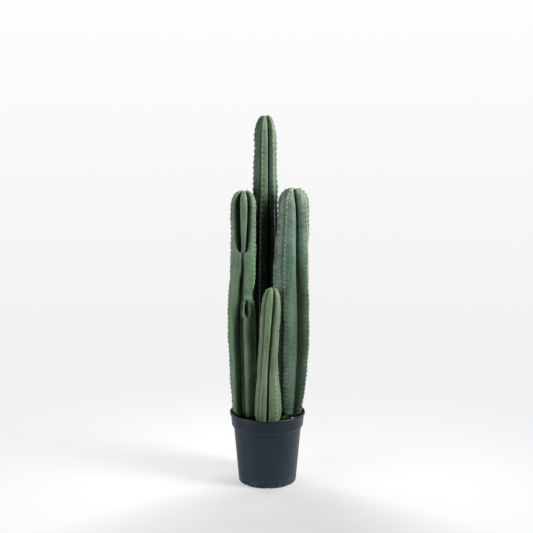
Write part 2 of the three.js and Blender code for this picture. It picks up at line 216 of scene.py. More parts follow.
def pot_material():
    """Dark slate plastic with a fine grain, uneven gloss, and thin pale scuffs in a strip along the foot."""
    material, add, join = shader("slate_polypropylene", 0.42, 0.72)
    surface = material.node_tree.nodes["Principled BSDF"]
    surface.inputs["Specular Tint"].default_value = (0.66, 0.86, 1.0, 1)
    surface.inputs["Sheen Weight"].default_value = 0.15
    surface.inputs["Sheen Tint"].default_value = (0.6, 0.82, 1.0, 1)
    place = add("ShaderNodeTexCoord").outputs["Object"]
    cloud = noise(add, place, 14.0, 5.0)
    slate = ramp(add, cloud, 0.3, (0.0045, 0.0082, 0.0135), 0.72, (0.0088, 0.0142, 0.0215))
    height = add("ShaderNodeSeparateXYZ", {0: place}).outputs["Z"]
    foot = ranged(add, height, 0.034, 0.008, easing="SMOOTHSTEP")
    from_middle = arithmetic(add, "SUBTRACT", noise(add, place, 60.0, 3.0, 0.6), 0.5)
    scuffs = ranged(add, arithmetic(add, "ABSOLUTE", from_middle), 0.035, 0.005)
    scuffed = arithmetic(add, "MULTIPLY", foot, scuffs)
    join(mixed(add, scuffed, slate, (0.07, 0.10, 0.125, 1)), "Base Color")
    join(ranged(add, noise(add, place, 22.0, 4.0), 0.0, 1.0, 0.34, 0.5), "Roughness")
    join(bumped(add, noise(add, place, 900.0, 2.0), 0.12, 0.0004), "Normal")
    return material


pot = put_mesh("nursery_pot", *pot_surface())
pot.data.materials.append(pot_material())
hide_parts("pot")
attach(pot, "root")


# ---------------------------------------- stems
# Four ribbed stems of one columnar cactus, water-filled flesh under a waxy green skin. The ribs
# run from the soil over the rounded tip. Each has a thin crest, notched at every areole, and two
# plump flanks that drop steeply into a deep groove.


def smooth_curve(pairs, at):
    """Values at heights of a curve that runs smoothly, without overshoot, through (height, value) pairs."""
    x, y = np.array(pairs, float).T
    slope = np.diff(y) / np.diff(x)
    tangent = np.zeros(len(x))
    tangent[0], tangent[-1] = slope[0], slope[-1]
    same = slope[:-1] * slope[1:] > 0
    mean = 2 * slope[:-1] * slope[1:] / np.where(same, slope[:-1] + slope[1:], 1)
    tangent[1:-1] = np.where(same, mean, 0)
    at = np.clip(at, x[0], x[-1])
    i = np.clip(np.searchsorted(x, at, side="right") - 1, 0, len(x) - 2)
    span = x[i + 1] - x[i]
    t = (at - x[i]) / span
    return (
        (2 * t**3 - 3 * t**2 + 1) * y[i]
        + (t**3 - 2 * t**2 + t) * span * tangent[i]
        + (3 * t**2 - 2 * t**3) * y[i + 1]
        + (t**3 - t**2) * span * tangent[i + 1]
    )


def curve_at(value, height):
    """A value at every height: a smooth curve through (height, value) pairs, or one number throughout."""
    return smooth_curve(value, height) if isinstance(value, list) else np.full(np.shape(height), float(value))


FLANK_STEPS = 11
FLOOR_STEPS = 3
SIDE_STEPS = FLANK_STEPS + FLOOR_STEPS
DOME_ROWS = 40
ROW_SPACING = 1.8
FOOT = 190

# Heights and radii are in millimetres, bearings in degrees from the front toward +X. The dome is the
# height of the rounded tip, and blunt the power of its cosine. Areoles follow at an even spacing;
# teeth is how far the fin stands up between them, and wool how large their cushions are.
# A rib's swell is its crest as a share of the radius, and fin how much of the thin fin it has. The
# groove after a rib has its place between the two ribs, and its depth is the share of the radius
# left at its floor. Each side of a rib has the share of the flank at which its wall meets that
# floor, how plump it is before, and how steep the wall is.
# Marks on the skin are shares, 1 for plainly there: painted shade in the notches round the areoles, a pale
# strip above the wall that is a painted highlight on the shoulder, painted shade in the grooves, a scaly
# first rib, and painted shade low on a stem where other stems keep the light off it, which fades out between
# two heights. The skin's colours run from shade to light, with bloom, fresh green at the tip, wax, and a
# groove tint of painted shade.
PLAIN_SIDE = (0.92, 2.0, 0.45)
# The grooves are multiplied by this green: painted shade, darker the deeper the skin lies.
GROOVE_SHADE_TINT = (0.24, 0.32, 0.24)
TALL_STEM = dict(
    top=1163, dome=70, blunt=0.85, spacing=17.0, seed=3, wool=1.1, notch_shade_share=0.5, teeth=1,
    # The lower stem is painted dark: painted shade where the left and right stems keep the light off it.
    shoulder=0.75, painted_groove_shade=0.2, painted_low_shade=dict(amount=0.97, fades=(830, 970)),
    skin=dict(shade=(0.058, 0.138, 0.068), light=(0.13, 0.232, 0.13), bloom=0.15, fresh=0.35, waxy=0.35,
              groove=GROOVE_SHADE_TINT),
    axis_x=[(188, -8), (600, -9), (900, -7), (1163, -6)],
    axis_y=[(188, 66), (600, 64), (900, 61), (1163, 60)],
    radius=[(188, 31), (400, 41), (600, 46), (800, 43), (900, 39.5), (1000, 36), (1060, 34.6), (1163, 33)],
    ribs=[
        dict(bearing=[(188, -84), (1163, -80)], place=0.62, depth=0.48, right=(0.7, 1.2, 0.9)),
        dict(bearing=[(188, -17), (1163, -14)], place=0.70, depth=0.38,
             left=(0.9, 1.5, 0.6), right=(0.88, 3.2, 0.38)),
        dict(bearing=[(188, 41), (1163, 42)], left=(0.70, 2.2, 0.45), right=(0.92, 2.2, 0.45)),
        dict(bearing=104),
        dict(bearing=165),
        dict(bearing=220),
    ],
)
LEFT_STEM = dict(
    top=930, dome=50, blunt=0.66, spacing=15.0, seed=11, wool=1.2, notch_shade_share=0.6, teeth=0.9,
    shoulder=[(700, 0.3), (790, 0.55)], painted_groove_shade=[(600, 0.9), (740, 1.7)], scaly=[(700, 0), (770, 1), (930, 1)],
    skin=dict(shade=(0.095, 0.182, 0.10), light=(0.195, 0.30, 0.185), bloom=0.3, fresh=0.3, waxy=0.5,
              groove=(0.10, 0.16, 0.10)),
    axis_x=[(188, -68), (250, -73), (400, -77), (535, -80), (707, -75), (930, -73)],
    axis_y=[(188, 4), (400, 2), (707, 4), (930, 6)],
    radius=[(188, 29), (212, 34), (245, 40), (320, 43), (400, 45), (535, 46), (640, 44), (720, 42),
            (930, 43)],
    ribs=[
        dict(
            bearing=[(188, -70), (500, -73), (720, -68), (930, -66)],
            place=[(188, 0.95), (736, 0.95), (744, 0.72), (752, 0.67), (900, 0.56), (930, 0.55)],
            depth=[(188, 0.38), (640, 0.40), (690, 0.55), (736, 0.72), (749, 0.44), (765, 0.38), (930, 0.38)],
            right=([(188, 0.58), (215, 0.58), (300, 0.68), (545, 0.72), (600, 0.77), (629, 0.83), (657, 0.88),
                    (685, 0.985), (738, 0.99), (739.5, 0.91), (742, 0.84), (746, 0.785), (756, 0.74),
                    (900, 0.64)],
                   [(188, 5), (560, 5), (620, 2.2), (732, 2.4), (745, 5), (930, 5)], 0.34),
        ),
        dict(
            bearing=[(188, -24), (300, -17), (545, -13), (600, -11), (629, -8), (657, -5), (685, -2),
                     (738, -4), (755, 1), (930, 1)],
            swell=[(188, 0.38), (640, 0.41), (690, 0.55), (736, 0.73), (748, 0.80), (775, 0.94), (820, 1),
                   (930, 1)],
            place=[(188, 0.045), (736, 0.047), (744, 0.25), (752, 0.30), (900, 0.43), (930, 0.43)],
            depth=[(188, 0.38), (640, 0.40), (690, 0.55), (736, 0.72), (749, 0.44), (765, 0.38), (930, 0.38)],
            left=([(188, 0.9), (738, 0.9), (752, 0.62), (860, 0.74), (930, 0.78)], 4.0, 0.34),
            right=([(188, 0.9), (738, 0.9), (752, 0.76), (860, 0.86), (930, 0.88)], 4.0, 0.34),
            fin=[(188, 0), (745, 0), (775, 0.1), (880, 0.2), (930, 0.6)],
        ),
        dict(
            bearing=[(188, 60), (500, 63), (720, 60), (930, 58)],
            swell=[(188, 1), (500, 1), (557, 0.99), (580, 0.88), (598, 0.68), (608, 0.66), (620, 0.76),
                   (635, 0.89), (666, 0.96), (700, 1), (930, 1)],
            left=([(188, 0.73), (215, 0.73), (300, 0.77), (545, 0.8), (600, 0.84), (685, 0.98), (738, 0.99),
                   (739.5, 0.945), (742, 0.91), (746, 0.885), (756, 0.86), (900, 0.78)], 4.0, 0.36),
        ),
        dict(bearing=142),
        dict(bearing=212),
    ],
    scar=dict(bearing=26, z=566, half_width=7.6, half_height=28, deep=14),
)
RIGHT_STEM = dict(
    top=937, dome=50, blunt=0.85, spacing=14.5, seed=23, wool=[(480, 0.9), (700, 1.9)],
    notch_shade_share=[(600, 0.15), (780, 1.1)], teeth=1, shoulder=0.55, painted_groove_shade=0.8, scaly=[(610, 0), (680, 0.9), (937, 1)],
    # The left side low down is painted dark: painted shade where the short and left stems keep the light off
    # it.
    painted_low_shade=dict(amount=0.95, fades=(540, 660), left_of=-46),
    skin=dict(shade=(0.085, 0.165, 0.105), light=(0.17, 0.265, 0.185), bloom=0.55, fresh=0.1, waxy=1.0,
              groove=GROOVE_SHADE_TINT),
    axis_x=[(188, 77), (300, 81), (450, 82), (700, 80), (860, 82), (937, 81)],
    axis_y=[(188, 22), (450, 20), (937, 18)],
    radius=[(188, 28), (212, 32), (255, 38), (330, 45), (420, 51), (520, 53), (700, 51), (820, 48),
            (937, 47)],
    ribs=[
        dict(
            bearing=[(188, -92), (560, -85), (700, -82), (937, -78)],
            swell=[(188, 0.98), (400, 1), (560, 1.04), (625, 1.16), (680, 1.18), (760, 1.1), (840, 1.02),
                   (937, 0.98)],
            place=0.62, depth=[(188, 0.45), (590, 0.5), (650, 0.78), (937, 0.8)], right=(1.0, 1.1, 1.0),
        ),
        dict(
            bearing=[(188, -50), (330, -42), (520, -33), (700, -33), (937, -28)],
            place=[(188, 0.66), (450, 0.74), (600, 0.72), (745, 0.62), (822, 0.60), (900, 0.54), (937, 0.5)],
            depth=[(188, 0.46), (450, 0.44), (745, 0.42), (937, 0.36)],
            left=(1.0, 1.5, 0.8),
            right=([(188, 1.0), (600, 1.0), (745, 0.93)], [(188, 1.3), (600, 1.5), (745, 2.6)],
                   [(188, 1.5), (600, 1.2), (745, 0.5)]),
        ),
        dict(bearing=[(188, 56), (450, 61), (600, 60), (860, 54), (937, 42)],
             swell=[(188, 1.0), (450, 1.05), (700, 1.03), (860, 1.0)],
             left=(1.0, [(600, 1.2), (760, 2.4)], [(188, 1.6), (600, 1.4), (760, 0.5)])),
        dict(bearing=[(188, 114), (720, 110), (860, 98), (937, 94)]),
        dict(bearing=186),
    ],
    wrinkles=dict(bearing=-66, z=636, half_angle=24, half_height=20),
)
SHORT_STEM = dict(
    top=637, dome=66, blunt=0.85, spacing=13.5, seed=37, wool=[(300, 0.3), (480, 0.7)], notch_shade_share=0.12,
    teeth=0.5, shoulder=0.4, painted_groove_shade=0.8,
    skin=dict(shade=(0.124, 0.2, 0.106), light=(0.225, 0.31, 0.185), bloom=0.2, fresh=0.6, waxy=0.1,
              groove=GROOVE_SHADE_TINT),
    axis_x=[(188, 2), (246, 4), (391, 3), (486, 6.5), (571, 11), (637, 15)],
    axis_y=[(188, -60), (391, -58), (637, -54)],
    radius=[(188, 33), (212, 39), (250, 43), (310, 40), (391, 33), (637, 30.5)],
    ribs=[
        dict(bearing=[(188, -84), (391, -86), (637, -88)], place=0.52, depth=0.56, right=(0.9, 1.5, 0.7)),
        dict(bearing=[(188, -40), (275, -37), (350, -32), (450, -23), (637, -22)],
             place=[(188, 0.40), (275, 0.40), (450, 0.35), (580, 0.43), (637, 0.45)],
             depth=0.34, left=(0.88, 2.2, 0.5), right=(0.93, 3.0, 0.4)),
        dict(bearing=[(188, 36), (275, 38), (350, 43), (420, 56), (486, 67), (637, 75)],
             left=(0.94, 2.4, 0.42)),
        dict(bearing=[(188, 110), (637, 134)]),
        dict(bearing=[(188, 186), (637, 194)]),
    ],
)


def slow_wave(place, seed, period):
    """A gentle wander between about -1 and 1: three sines of unrelated periods and phases."""
    phase = np.random.default_rng(seed).uniform(0, 2 * np.pi, 3)
    k = 2 * np.pi / period
    return (np.sin(k * place + phase[0]) + 0.6 * np.sin(1.73 * k * place + phase[1])
            + 0.4 * np.sin(3.1 * k * place + phase[2])) / 1.6


def stem_rows(stem):
    """
    Height, inward, rise and dip of every row. Up to the shoulder a row is a height; above it a row is
    an angle of the dome, where the radius shrinks as a cosine and the height rises as a sine. The dip
    is the share of the rise that a groove lacks.
    """
    shoulder = stem["top"] - stem["dome"]
    body = np.arange(FOOT, shoulder, ROW_SPACING)
    phi = np.linspace(0, math.radians(87), DOME_ROWS)
    height = np.concatenate([body, shoulder + stem["dome"] * np.sin(phi)])
    inward = np.concatenate([np.ones(len(body)), np.cos(phi) ** stem["blunt"]])[:, None]
    rise = np.concatenate([np.zeros(len(body)), stem["dome"] * np.sin(phi)])[:, None]
    dip = np.concatenate([np.zeros(len(body)), 0.3 * (1 - (phi / (np.pi / 2)) ** 5)])[:, None]
    return height, inward, rise, dip


def flank_shares(wall, side):
    """Shares of the way from a crest to the groove for one side's columns: closer at crest and wall."""
    t = np.arange(FLANK_STEPS) / FLANK_STEPS
    flank_steps = 0.5 * t + 0.25 * (1 - np.cos(np.pi * t))
    floor_steps = np.arange(FLOOR_STEPS) / FLOOR_STEPS
    u = np.concatenate([wall * flank_steps, wall + (1 - wall) * floor_steps], 1)
    if side == "left":
        u = np.concatenate([np.ones((len(wall), 1)), u[:, :0:-1]], 1)
    return u


def ribbed_outline(stem, height):
    """
    Every rib's two flanks side by side. With t from 0 at a crest to 1 where the flank's wall meets
    the floor of the groove, the radius is groove + (crest - groove) * (1 - t^plump)^steep.
    """
    radius = smooth_curve(stem["radius"], height)
    ribs = stem["ribs"]
    crest = [radius * curve_at(rib.get("swell", 1), height) for rib in ribs]
    bearing = [curve_at(rib["bearing"], height) for rib in ribs]
    fin = [curve_at(rib.get("fin", 1), height) for rib in ribs]
    parts = {key: [] for key in ("bearing", "radius", "crest", "away", "edge", "rib", "fin")}
    for k, rib in enumerate(ribs):
        mate = (k + 1) % len(ribs)
        begin = bearing[k]
        end = bearing[mate] + (360 if mate == 0 else 0)
        place = begin + (end - begin) * curve_at(rib.get("place", 0.5), height)
        groove = radius * curve_at(rib.get("depth", 0.42), height)
        for own, start, side in ((k, begin, "right"), (mate, end, "left")):
            shape = ribs[own].get(side, PLAIN_SIDE)
            wall, plump, steep = (curve_at(value, height)[:, None] for value in shape)
            u = flank_shares(wall, side)
            share = (1 - np.minimum(1, u / wall) ** plump) ** steep
            turn = start[:, None] + (place - start)[:, None] * u
            r = groove[:, None] + (crest[own] - groove)[:, None] * share
            parts["bearing"].append(turn)
            parts["radius"].append(r)
            parts["crest"].append(np.repeat(crest[own][:, None], SIDE_STEPS, 1))
            parts["away"].append(np.radians(turn - start[:, None]) * r)
            # Where the flank turns over into its wall; the skin paints a highlight there.
            parts["edge"].append(np.exp(-(((u / wall) ** plump - 0.62) / 0.22) ** 2))
            parts["rib"].append(np.full(r.shape, own))
            parts["fin"].append(np.repeat(fin[own][:, None], SIDE_STEPS, 1))
    return [np.concatenate(part, 1) for part in parts.values()]


def scarred(r, bearing, height, scar):
    """
    A leaf-shaped scar. The distance from its middle is (across^1.45 + along^1.45)^(1/1.45), and it
    narrows toward the top. Inside 1 the radius drops; at 1.22 it swells into lips, more on the left.
    """
    leaf = 1.45
    along = (height - scar["z"]) / scar["half_height"]
    half_width = scar["half_width"] * (1 - 0.42 * along.clip(-1, 1.2))
    across = np.radians(bearing - scar["bearing"]) * r / half_width
    away = (np.abs(across) ** leaf + np.abs(along) ** leaf) ** (1 / leaf)
    hollow = np.exp(-(away / 0.98) ** 6)
    to_left = 1 / (1 + np.exp((across + 0.2) / 0.25))
    lips = np.exp(-((away - 1.22) / 0.24) ** 2) * (0.4 + 0.6 * to_left)
    return r - scar["deep"] * hollow + 1.3 * lips, hollow, lips


def wrinkled(r, bearing, height, folds):
    """
    Corky wrinkles across a flank: a sine of the height, bent and unevenly spaced by slow waves, in a
    patch that fades at its edges, with one deeper crease above. The pale frost lies on the ridges.
    """
    pitch = 9.5
    aslant = bearing - folds["bearing"]
    side = np.exp(-(aslant / folds["half_angle"]) ** 4)
    patch = side * np.exp(-((height - folds["z"]) / folds["half_height"]) ** 4)
    bent = height + 4 * np.cos(np.radians(3.2 * aslant)) + 0.16 * aslant
    bent = bent + 2.6 * slow_wave(aslant + 0.9 * height, 5, 31)
    ridges = np.sin(2 * np.pi * bent / pitch) + 0.5 * slow_wave(bent - 0.7 * aslant, 9, 7)
    crease = side * np.exp(-((bent - folds["z"] - folds["half_height"] - 6) / 2.2) ** 2)
    frost = np.clip(patch * (0.55 + 0.45 * ridges) + 1.2 * np.roll(crease, 2, 0), 0, 1)
    return r + 0.75 * patch * ridges - 2.2 * crease, frost


def low_shade_share(painted_low_shade, bearing, height):
    """Share of painted shade low on a stem, where other stems keep the light off it: it fades out between two
    heights, and right of a bearing if one is given.
    """
    low, high = painted_low_shade["fades"]
    share = painted_low_shade["amount"] * smooth_curve([(low, 1), (high, 0)], height)[:, None] * np.ones_like(bearing)
    if "left_of" in painted_low_shade:
        share = share / (1 + np.exp((bearing - painted_low_shade["left_of"]) / 1.5))
    return share


FIN_HEIGHT = 4.4
FIN_REACH = 3.2
CREST_SETBACK = 1.6
CREST_REACH = 7.0
CREST_WAVE = 130
FLANK_WAVE = 21
NOTCH_DEPTH = 3.4
NOTCH_SHARE = 0.19
DIMPLE_DEPTH = 5.5
DIMPLE_RADIUS = 8.5


def areole_notches(stem, rib, arc):
    """How far up each rib its first areole is, and a bell shape up the skin that is 1 at every areole."""
    first_areole = np.random.default_rng(stem["seed"]).uniform(0, stem["spacing"], len(stem["ribs"]))
    step = (arc[:, None] - first_areole[rib]) / stem["spacing"] % 1
    return first_areole, np.exp(-(np.minimum(step, 1 - step) / NOTCH_SHARE) ** 2)


def with_fins(stem, r, away, rib, fin, notch, arc):
    """
    The radius with a thin fin along each crest, about exp(-distance / reach) high and notched at
    every areole, with slow waves up the crests and shorter ones on the flanks.
    """
    line, seed = arc[:, None], stem["seed"]
    wander = sum(
        np.where(rib == k, slow_wave(line, seed + k, CREST_WAVE), 0) for k in range(len(stem["ribs"]))
    )
    near = np.exp(-(away / CREST_REACH) ** 2)
    ridge = np.exp(-np.sqrt(away**2 + 1.0) / FIN_REACH) * 1.36
    r = r - CREST_SETBACK + stem["teeth"] * fin * ridge * (FIN_HEIGHT - NOTCH_DEPTH * notch * near)
    r = r + fin * near * (1.1 * wander - 0.45 * notch)
    return r + 0.5 * slow_wave(line + 0.8 * away, seed + 50, FLANK_WAVE) * (1 - near)


def placed(stem, rows, bearing, r, depth):
    """Points of the skin round the leaning axis, with a dimple at the growing point."""
    height, inward, rise, dip = rows
    reach = inward * r
    angle = np.radians(bearing)
    x = smooth_curve(stem["axis_x"], height)[:, None] + reach * np.sin(angle)
    y = smooth_curve(stem["axis_y"], height)[:, None] - reach * np.cos(angle)
    z = np.where(rise > 0, stem["top"] - stem["dome"] + rise * (1 - dip * depth), height[:, None])
    z = z - DIMPLE_DEPTH * np.exp(-(reach / DIMPLE_RADIUS) ** 2) * (rise > 0)
    return np.stack([x, y, z], -1) * MM


def skin_readings(stem, height, depth, away, edge, rib, fin, notch):
    """What the skin's material reads at every point: bell shapes of the distance from a crest or tip."""

    def share(key):
        return curve_at(stem.get(key, 0), height)[:, None]

    tip = np.exp(-((stem["top"] - height[:, None]) / 55)) * np.ones_like(depth)
    scales = (rib == 0) * np.exp(-(away / 15) ** 2) * share("scaly")
    return {
        # Painted shade: the deeper the skin lies in a groove, the darker it is painted.
        "painted_groove_shade": np.clip((depth - 0.14) / 0.3, 0, 1) * share("painted_groove_shade"),
        # A pale strip along each shoulder: a painted highlight.
        "edge": edge * share("shoulder"),
        "near_crest": np.exp(-(away / 3.0) ** 2) * fin * (1 - 0.7 * notch),
        # Painted shade in the notch at each areole.
        "painted_notch_shade": np.exp(-(away / 4.2) ** 2) * fin * notch * share("notch_shade_share"),
        "tip": tip,
        "wax": np.maximum(tip, scales),
    }


def stem_surface(stem):
    """
    A ribbed column on a leaning axis, as points[row, column], with what the material reads, the
    length up the skin at every row, and how far up each rib its first areole is.
    """
    rows = stem_rows(stem)
    height, inward = rows[:2]
    level = height[:, None]
    bearing, r, crest, away, edge, rib, fin = ribbed_outline(stem, height)
    axis_radius = smooth_curve(stem["radius"], height) * inward[:, 0]
    arc = np.concatenate([[0], np.cumsum(np.hypot(np.diff(height), np.diff(axis_radius)))])
    first_areole, notch = areole_notches(stem, rib, arc)
    r = with_fins(stem, r, away, rib, fin, notch, arc)
    hollow = lips = frost = age = np.zeros_like(r)
    if "scar" in stem:
        r, hollow, lips = scarred(r, bearing, level, stem["scar"])
    if "wrinkles" in stem:
        r, frost = wrinkled(r, bearing, level, stem["wrinkles"])
    # Painted shade low on the stem.
    if "painted_low_shade" in stem:
        age = low_shade_share(stem["painted_low_shade"], bearing, height)
    depth = np.clip(1 - r / crest, 0, 1)
    reads = skin_readings(stem, height, depth, away, edge, rib, fin, notch)
    reads.update(age=age, hollow=hollow, rim=lips, frost=frost)
    return placed(stem, rows, bearing, r, depth), reads, arc, first_areole


def stem_piece(name, stem):
    """The stem's grid closed by a point at the buried foot and one at the sunken growing tip."""
    points, reads, arc, first_areole = stem_surface(stem)
    rows, columns = points.shape[:2]
    flat = np.concatenate([points.reshape(-1, 3), points[0].mean(0)[None], points[-1].mean(0)[None]])
    piece = put_mesh(name, flat, grid_quads(rows, columns), end_fans(rows, columns))
    for key, values in reads.items():
        add_attribute(piece, key, np.concatenate([values.ravel(), [values[0].mean(), values[-1].mean()]]))
    return piece, points, arc, first_areole


BLOOM = (0.30, 0.42, 0.37, 1)
YOUNG_GREEN = (0.27, 0.36, 0.13, 1)
WAX = (0.40, 0.50, 0.46, 1)
# The pale bluish strip on the shoulders: a painted highlight.
SHOULDER_HIGHLIGHT = (0.31, 0.43, 0.38, 1)
CREST_GREEN = (0.33, 0.43, 0.24, 1)
# Multiplies the skin round each areole's notch: painted shade.
NOTCH_SHADE_TINT = (0.28, 0.4, 0.24, 1)
# Multiplies the skin low on the tall stem and on the right stem's left side: painted shade.
LOW_SHADE_TINT = (0.08, 0.13, 0.10, 1)
SPECK = (0.42, 0.46, 0.3, 1)
CORKY_FROST = (0.29, 0.38, 0.34, 1)
SCAR_LIP = (0.40, 0.52, 0.36, 1)
# The scar's hollow, painted near black: painted shade in the hole.
SCAR_HOLLOW_SHADE = (0.03, 0.045, 0.02, 1)


def skin_material(name, shade, light, bloom, fresh, waxy, groove):
    """
    Waxy green skin: clouded green with a pale bloom, yellow-green at the tip, waxy scales, paler crests, fine
    specks, and the marks of injuries. Painted light in it: a painted highlight on the shoulders, and painted
    shade in the notches, the grooves, the scar's hollow and low on the stems where they shade each other.
    """
    material, add, join = shader(name, 0.5, 0.4)
    place = add("ShaderNodeTexCoord").outputs["Object"]
    long = add("ShaderNodeMapping", {"Vector": place, "Scale": (1.0, 1.0, 0.22)}).outputs["Vector"]

    def reading(key):
        return add("ShaderNodeAttribute", attribute_name=key).outputs["Fac"]

    def eased(value, low, high, start=0.0, stop=1.0):
        return ranged(add, value, low, high, start, stop, "SMOOTHSTEP")

    clouds = eased(noise(add, long, 45.0, 6.0, 0.6), 0.32, 0.68)
    dust = eased(noise(add, place, 16.0, 7.0, 0.7), 0.42, 0.75, 0.0, bloom)
    scales = eased(noise(add, place, 58.0, 5.0, 0.65), 0.43, 0.58, 0.0, waxy)
    dots = add("ShaderNodeTexVoronoi", {"Vector": place, "Scale": 330.0}).outputs["Distance"]
    green = mixed(add, clouds, (*shade, 1), (*light, 1))
    for amount, colour, kind in (
        (dust, BLOOM, "MIX"),
        (eased(reading("tip"), 0.1, 1.0, 0.0, fresh), YOUNG_GREEN, "MIX"),
        (arithmetic(add, "MULTIPLY", scales, reading("wax")), WAX, "MIX"),
        # painted highlight on the shoulders
        (eased(reading("edge"), 0.1, 1.0), SHOULDER_HIGHLIGHT, "MIX"),
        (eased(reading("near_crest"), 0.2, 1.0, 0.0, 0.55), CREST_GREEN, "MIX"),
        # painted shade in the notches
        (eased(reading("painted_notch_shade"), 0.1, 0.8), NOTCH_SHADE_TINT, "MULTIPLY"),
        # painted shade in the grooves
        (reading("painted_groove_shade"), (*groove, 1), "MULTIPLY"),
        # painted shade low on the stem
        (reading("age"), LOW_SHADE_TINT, "MULTIPLY"),
        (eased(dots, 0.12, 0.05, 0.0, 0.25), SPECK, "MIX"),
        (reading("frost"), CORKY_FROST, "MIX"),
        (reading("rim"), SCAR_LIP, "MIX"),
        # painted shade in the scar's hollow
        (reading("hollow"), SCAR_HOLLOW_SHADE, "MIX"),
    ):
        green = mixed(add, amount, green, colour, kind)
    join(green, "Base Color")
    streak = noise(add, long, 260.0, 4.0)
    join(eased(streak, 0.3, 0.7, 0.42, 0.6), "Roughness")
    join(bumped(add, streak, 0.35, 0.0006), "Normal")
    return material


made = {}
for node, name, stem, slot in (
    ("tall_stem", "tall_cactus_stem", TALL_STEM, "stem_skin"),
    ("left_stem", "left_cactus_stem", LEFT_STEM, "stem_skin"),
    ("right_stem", "right_cactus_stem", RIGHT_STEM, "stem_skin"),
    ("short_stem", "short_cactus_stem", SHORT_STEM, "young_stem_skin"),
):
    piece, points, arc, first_areole = stem_piece(name, stem)
    piece.data.materials.append(skin_material(name + "_skin", **stem["skin"]))
    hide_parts(node)
    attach(piece, "root")
    made[node] = (stem, points, arc, first_areole)


# ---------------------------------------- areoles and spines
# Every notch on a crest holds an areole: a small cushion of pale wool with a few short pale spines.
# Those of one stem are one mesh, because they grow from its skin.
PAD_HALF_SIZE = np.array([1.5, 2.1, 1.75]) * MM
PAD_SINK = 0.3 * MM
SPINES = 6
SPINE_LENGTHS = (3.0, 5.4)
SPINE_RADIUS = 0.32 * MM
SPINE_ROOT = 0.9 * MM
LOWEST_AREOLE = 216


def places_along(line, arc, spots):
    """Places at the given lengths up a line of points."""
    return np.stack([np.interp(spots, arc, line[:, i]) for i in range(3)], -1)


def areole_frames(stem, points, arc, first_areole):
    """Place, outward, upward and sideways unit vectors of every areole, read off the crest columns."""
    frames = []
    for k, rib in enumerate(stem["ribs"]):
        line = points[:, 2 * SIDE_STEPS * k]
        spots = np.arange(first_areole[k], arc[-1] - 1.5, stem["spacing"])
        at = places_along(line, arc, spots)
        up = places_along(line, arc, spots + 2) - places_along(line, arc, spots - 2)
        up /= np.linalg.norm(up, axis=1, keepdims=True)
        height = at[:, 2] / MM
        axis = [smooth_curve(stem[key], height) for key in ("axis_x", "axis_y")]
        middle = np.stack([*axis, height], -1) * MM
        out = at - middle + np.array([0, 0, 1e-5])
        out -= (out * up).sum(1, keepdims=True) * up
        out /= np.linalg.norm(out, axis=1, keepdims=True)
        side = np.cross(up, out)
        keep = height > LOWEST_AREOLE
        if "fin" in rib:
            keep &= smooth_curve(rib["fin"], height) > 0.25
        frames.append(np.stack([at, out, up, side], 1)[keep])
    return np.concatenate(frames)


def cushion_shape(around=6, rings=2):
    """A low dome of wool in (out, up, side) units: rings of a squashed ball, with a point on top."""
    lean = np.linspace(0, np.pi / 2, rings + 1)[:-1]
    turn = np.arange(around) * 2 * np.pi / around
    out = np.repeat(np.sin(lean)[:, None], around, 1)
    up = np.cos(lean)[:, None] * np.cos(turn)
    side = np.cos(lean)[:, None] * np.sin(turn)
    points = np.stack([out, up, side], -1).reshape(-1, 3)
    points = np.concatenate([points, [[1, 0, 0], [-0.5, 0, 0]]])
    quads = grid_quads(rings, around)
    last = (rings - 1) * around
    tris = np.concatenate([
        fan(rings * around, last + np.arange(around)),
        fan(rings * around + 1, np.arange(around), flip=True),
    ])
    return points, quads, tris


def first_points(copies, length):
    """Number of the first point of every copy of a shape that has the given number of points."""
    return (np.arange(copies) * length)[:, None, None]


def wool_pads(frames, size):
    """One cushion for each areole, sunk a little into the skin."""
    shape, quads, tris = cushion_shape()
    local = shape[None] * (size[:, None, None] * PAD_HALF_SIZE)
    pads = frames[:, 0, None] - PAD_SINK * frames[:, 1, None] + local @ frames[:, 1:]
    first = first_points(len(frames), len(shape))
    return pads.reshape(-1, 3), (quads[None] + first).reshape(-1, 4), (tris[None] + first).reshape(-1, 3)


def spine_cones(frames, rng, after):
    """
    Thin three-sided cones that fan out of each areole at random angles from its skin. Their points
    are numbered on after the given number.
    """
    turn = rng.uniform(0, 2 * np.pi, len(frames))[:, None] + np.arange(SPINES) * 2 * np.pi / SPINES
    turn = turn + rng.uniform(-0.35, 0.35, turn.shape)
    lift = rng.uniform(0.35, 0.9, turn.shape)
    reach = rng.uniform(*SPINE_LENGTHS, turn.shape) * MM
    local = np.stack([np.sin(lift), np.cos(lift) * np.cos(turn), np.cos(lift) * np.sin(turn)], -1)
    ray = np.einsum("csk,ckd->csd", local, frames[:, 1:])
    start = frames[:, None, 0] + SPINE_ROOT * (frames[:, None, 1] - ray)
    helper = np.cross(ray, frames[:, None, 1] + 0.3 * frames[:, None, 2])
    helper /= np.linalg.norm(helper, axis=-1, keepdims=True)
    other = np.cross(ray, helper)
    three = np.arange(3) * 2 * np.pi / 3
    ring = helper[..., None, :] * np.cos(three)[:, None] + other[..., None, :] * np.sin(three)[:, None]
    base = start[..., None, :] + ring * SPINE_RADIUS
    point = start + ray * (reach + SPINE_ROOT)[..., None]
    cones = np.concatenate([base, point[..., None, :]], -2).reshape(-1, 3)
    faces = np.array([[0, 1, 3], [1, 2, 3], [2, 0, 3], [2, 1, 0]])
    return cones, (faces[None] + after + first_points(len(frames) * SPINES, 4)).reshape(-1, 3)


